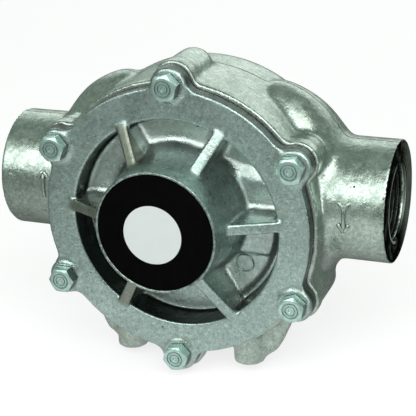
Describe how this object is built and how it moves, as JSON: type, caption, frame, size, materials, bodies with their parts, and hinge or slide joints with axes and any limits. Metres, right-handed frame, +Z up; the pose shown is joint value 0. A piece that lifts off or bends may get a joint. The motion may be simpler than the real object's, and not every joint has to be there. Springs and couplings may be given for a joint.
{
  "type": "roller pump",
  "caption": "Cast roller pump with a ribbed bolted end cover, threaded side ports, round feet and a keyed shaft that turns a slotted rotor with sliding rollers.",
  "frame": {"origin": "on the shaft's axis at the face of the rear hub", "axes": "+Y out along the drive shaft, +X to the inlet port, +Z up; the end cover faces -Y"},
  "size_m": [0.2146, 0.1875, 0.1715],
  "materials": {
    "body_casting": "satin cast metal with a sealed silver finish",
    "cover_casting": "satin cast metal with a sealed silver finish",
    "zinc_plate": "pale zinc plate",
    "seal_rubber": "black nitrile rubber",
    "cap_black": "matte black",
    "label_white": "white printed film, bare",
    "shaft_steel": "ground steel",
    "rotor_iron": "machined cast iron",
    "black_steel": "phosphated spring steel",
    "roller_plastic": "off-white moulded plastic",
    "bearing_steel": "ground bearing steel",
    "bearing_balls": "polished steel",
    "cage_steel": "pressed steel",
    "shield_rubber": "dark rubber on steel"
  },
  "bodies": {
    "housing": {"pump_body": "body_casting", "end_cover": "cover_casting", "cover_bolts": "zinc_plate", "cover_o_ring": "seal_rubber", "hub_cap": "cap_black", "cap_label": "label_white", "front_bearing_outer_ring": "bearing_steel", "front_bearing_shields": "shield_rubber", "front_hub_ring": "black_steel", "front_seal_case": "cage_steel", "front_seal_lip": "seal_rubber", "front_seal_spring": "bearing_balls", "rear_bearing_outer_ring": "bearing_steel", "rear_bearing_shields": "shield_rubber", "rear_hub_ring": "black_steel", "rear_seal_case": "cage_steel", "rear_seal_lip": "seal_rubber", "rear_seal_spring": "bearing_balls"},
    "rotor_shaft": {"drive_shaft": "shaft_steel", "rotor": "rotor_iron", "rotor_key": "shaft_steel", "rotor_set_screws": "black_steel", "front_bearing_inner_ring": "bearing_steel", "front_shaft_ring": "black_steel", "rear_bearing_inner_ring": "bearing_steel", "rear_shaft_ring": "black_steel", "shaft_slinger": "seal_rubber"},
    "front_cage": {"front_bearing_cage": "cage_steel", "front_bearing_balls": "bearing_balls"},
    "rear_cage": {"rear_bearing_cage": "cage_steel", "rear_bearing_balls": "bearing_balls"},
    "roller_1": {"roller_1": "roller_plastic"},
    "roller_2": {"roller_2": "roller_plastic"},
    "roller_3": {"roller_3": "roller_plastic"},
    "roller_4": {"roller_4": "roller_plastic"},
    "roller_5": {"roller_5": "roller_plastic"},
    "roller_6": {"roller_6": "roller_plastic"}
  },
  "joints": [
    {"name": "shaft_spin", "type": "hinge", "parent": "housing", "child": "rotor_shaft", "pos_m": [0, 0, 0], "axis": [0, 1, 0], "continuous": true},
    {"name": "front_cage_spin", "type": "hinge", "parent": "housing", "child": "front_cage", "pos_m": [0, -0.1258, 0], "axis": [0, 1, 0], "continuous": true},
    {"name": "rear_cage_spin", "type": "hinge", "parent": "housing", "child": "rear_cage", "pos_m": [0, -0.0147, 0], "axis": [0, 1, 0], "continuous": true},
    {"name": "roller_1_slide", "type": "slide", "parent": "rotor_shaft", "child": "roller_1", "axis": [0.5, 0, 0.866], "range_m": [0, 0.0011]},
    {"name": "roller_2_slide", "type": "slide", "parent": "rotor_shaft", "child": "roller_2", "axis": [1, 0, 0], "range_m": [0, 0.0053]},
    {"name": "roller_3_slide", "type": "slide", "parent": "rotor_shaft", "child": "roller_3", "axis": [-0.5, 0, 0.866], "range_m": [-0.0079, 0]},
    {"name": "roller_4_slide", "type": "slide", "parent": "rotor_shaft", "child": "roller_4", "axis": [0.5, 0, 0.866], "range_m": [-0.0028, 0]},
    {"name": "roller_5_slide", "type": "slide", "parent": "rotor_shaft", "child": "roller_5", "axis": [-1, 0, 0], "range_m": [0, 0.0053]},
    {"name": "roller_6_slide", "type": "slide", "parent": "rotor_shaft", "child": "roller_6", "axis": [-0.5, 0, 0.866], "range_m": [0, 0.0011]}
  ],
  "couplings": [
    {"joint": "front_cage_spin", "follows": "shaft_spin", "ratio": 0.3969},
    {"joint": "rear_cage_spin", "follows": "shaft_spin", "ratio": 0.3969}
  ]
}
